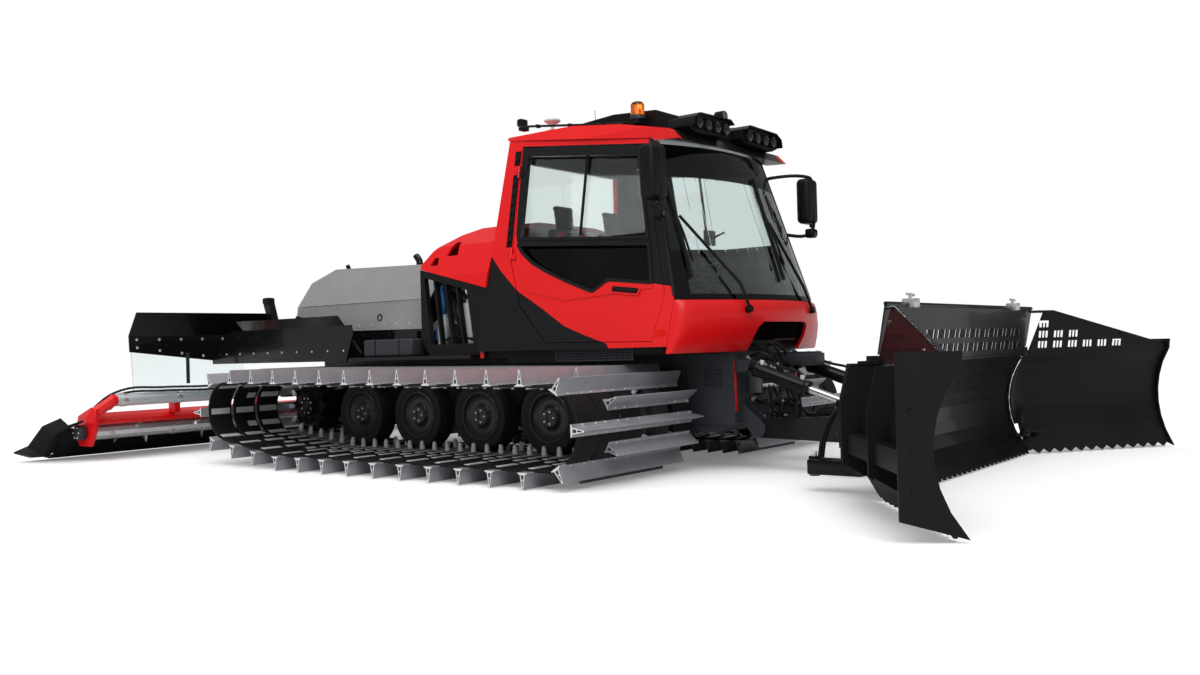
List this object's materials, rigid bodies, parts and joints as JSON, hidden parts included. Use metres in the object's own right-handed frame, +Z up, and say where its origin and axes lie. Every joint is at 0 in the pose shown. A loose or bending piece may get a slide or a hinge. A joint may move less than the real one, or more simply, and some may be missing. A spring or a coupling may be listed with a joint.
{
  "type": "tracked snow groomer",
  "caption": "Tracked snow groomer: glazed cab, engine deck with tipping hood, wide barred tracks, hinged front blade with folding wings and rear tiller with finisher mat.",
  "frame": {"origin": "on the ground under the middle of the machine's overall length and width", "axes": "+X forwards, +Y to the machine's left, +Z up"},
  "size_m": [9.5806, 5.56, 3.0153],
  "materials": {
    "red_paint": "glossy red paint",
    "black_plastic": "moulded, fine grain",
    "black_steel": "black paint, semi-gloss",
    "grey_steel": "dark grey paint, worn at the edges",
    "blade_steel": "black paint, worn bright at the cutting edge",
    "track": "bare galvanised bars on rubber belts",
    "tyre": "solid rubber, dull",
    "chequer_plate": "raised chequer pattern",
    "engine_grey": "painted castings",
    "tinted_glass": "lightly tinted",
    "clear_sheet": "clear flexible sheet",
    "seat_cloth": "black woven cloth",
    "orange_lens": "orange lens",
    "chrome": "hard chrome",
    "bright_steel": "worn bright by snow",
    "black_rubber": "moulded flexible mat",
    "white_plastic": "white moulding of the antenna"
  },
  "bodies": {
    "root": {"antenna": "white_plastic", "beacon_left": "orange_lens", "beacon_right": "orange_lens", "cab_floor": "black_plastic", "cab_rear_wall": "black_plastic", "cab_roof": "red_paint", "cab_side_left": "red_paint", "cab_side_right": "red_paint", "chassis": "grey_steel", "dashboard": "black_plastic", "deck": "black_steel", "engine": "engine_grey", "engine_cover_left": "black_plastic", "engine_cover_right": "black_plastic", "mirror_left": "black_plastic", "mirror_right": "black_plastic", "nose": "red_paint", "rear_glass": "tinted_glass", "rear_shroud": "red_paint", "road_wheels_left": "tyre", "road_wheels_right": "tyre", "roof_fairing": "black_plastic", "seat_driver": "seat_cloth", "seat_passenger": "seat_cloth", "spray_sheet_left": "clear_sheet", "spray_sheet_right": "clear_sheet", "sprocket_left": "black_steel", "sprocket_right": "black_steel", "track_left": "track", "track_right": "track", "windshield": "tinted_glass", "wiper_left": "black_plastic", "wiper_right": "black_plastic"},
    "hood": {"hood": "chequer_plate"},
    "door_right": {"door_right": "red_paint", "door_glass_right": "tinted_glass"},
    "door_left": {"door_left": "red_paint", "door_glass_left": "tinted_glass"},
    "push_frame": {"push_frame": "black_steel"},
    "blade_carrier": {"blade_carrier": "black_steel"},
    "blade": {"blade": "blade_steel"},
    "blade_wing_right": {"blade_wing_right": "blade_steel"},
    "blade_wing_left": {"blade_wing_left": "blade_steel"},
    "lift_barrel_right": {"lift_barrel_right": "black_steel"},
    "lift_barrel_left": {"lift_barrel_left": "black_steel"},
    "lift_rod_right": {"lift_rod_right": "chrome"},
    "lift_rod_left": {"lift_rod_left": "chrome"},
    "tiller_frame": {"tiller_frame": "black_steel"},
    "tiller": {"tiller_housing": "red_paint", "finisher": "black_rubber"},
    "tiller_rotor": {"tiller_rotor": "bright_steel"}
  },
  "joints": [
    {"name": "hood_hinge", "type": "hinge", "parent": "root", "child": "hood", "pos_m": [-2.62, 0, 1.4], "axis": [0, -1, 0], "range_deg": [0, 70]},
    {"name": "door_hinge_right", "type": "hinge", "parent": "root", "child": "door_right", "pos_m": [0.457, -0.94811, 2.22008], "axis": [0, -0.1839, -0.9829], "range_deg": [0, 80]},
    {"name": "door_hinge_left", "type": "hinge", "parent": "root", "child": "door_left", "pos_m": [0.457, 0.94811, 2.22008], "axis": [0, -0.1839, 0.9829], "range_deg": [0, 80]},
    {"name": "blade_lift", "type": "hinge", "parent": "root", "child": "push_frame", "pos_m": [2.42, 0, 0.33], "axis": [0, -1, 0], "range_deg": [-3, 28]},
    {"name": "blade_swing", "type": "hinge", "parent": "push_frame", "child": "blade_carrier", "pos_m": [3.44, 0, 0.36], "axis": [0, 0, 1], "range_deg": [-18, 18]},
    {"name": "blade_tilt", "type": "hinge", "parent": "blade_carrier", "child": "blade", "pos_m": [3.6, 0, 0.4], "axis": [1, 0, 0], "range_deg": [-7, 7]},
    {"name": "wing_hinge_right", "type": "hinge", "parent": "blade", "child": "blade_wing_right", "pos_m": [3.86, -1.506, 0.5], "axis": [0, 0, 1], "range_deg": [-35, 25]},
    {"name": "wing_hinge_left", "type": "hinge", "parent": "blade", "child": "blade_wing_left", "pos_m": [3.86, 1.506, 0.5], "axis": [0, 0, -1], "range_deg": [-35, 25]},
    {"name": "lift_head_right", "type": "hinge", "parent": "root", "child": "lift_barrel_right", "pos_m": [2.36, -0.455, 0.82], "axis": [0, -1, 0], "range_deg": [-2.7, 24.1]},
    {"name": "lift_head_left", "type": "hinge", "parent": "root", "child": "lift_barrel_left", "pos_m": [2.36, 0.455, 0.82], "axis": [0, -1, 0], "range_deg": [-2.7, 24.1]},
    {"name": "lift_slide_right", "type": "slide", "parent": "lift_barrel_right", "child": "lift_rod_right", "axis": [0.9465, 0, -0.3227], "range_m": [-0.24, 0.03]},
    {"name": "lift_slide_left", "type": "slide", "parent": "lift_barrel_left", "child": "lift_rod_left", "axis": [0.9465, 0, -0.3227], "range_m": [-0.24, 0.03]},
    {"name": "tiller_lift", "type": "hinge", "parent": "root", "child": "tiller_frame", "pos_m": [-2.8, 0, 0.8], "axis": [0, 1, 0], "range_deg": [-4, 18]},
    {"name": "tiller_tilt", "type": "hinge", "parent": "tiller_frame", "child": "tiller", "pos_m": [-3.62, 0, 0.6], "axis": [1, 0, 0], "range_deg": [-5, 5]},
    {"name": "rotor_spin", "type": "hinge", "parent": "tiller", "child": "tiller_rotor", "pos_m": [-4.12, 0, 0.29], "axis": [0, 1, 0], "continuous": true}
  ],
  "couplings": [
    {"joint": "lift_head_right", "follows": "blade_lift", "ratio": 0.854},
    {"joint": "lift_slide_right", "follows": "blade_lift", "m_per_rad": -0.474},
    {"joint": "lift_head_left", "follows": "blade_lift", "ratio": 0.854},
    {"joint": "lift_slide_left", "follows": "blade_lift", "m_per_rad": -0.474}
  ]
}
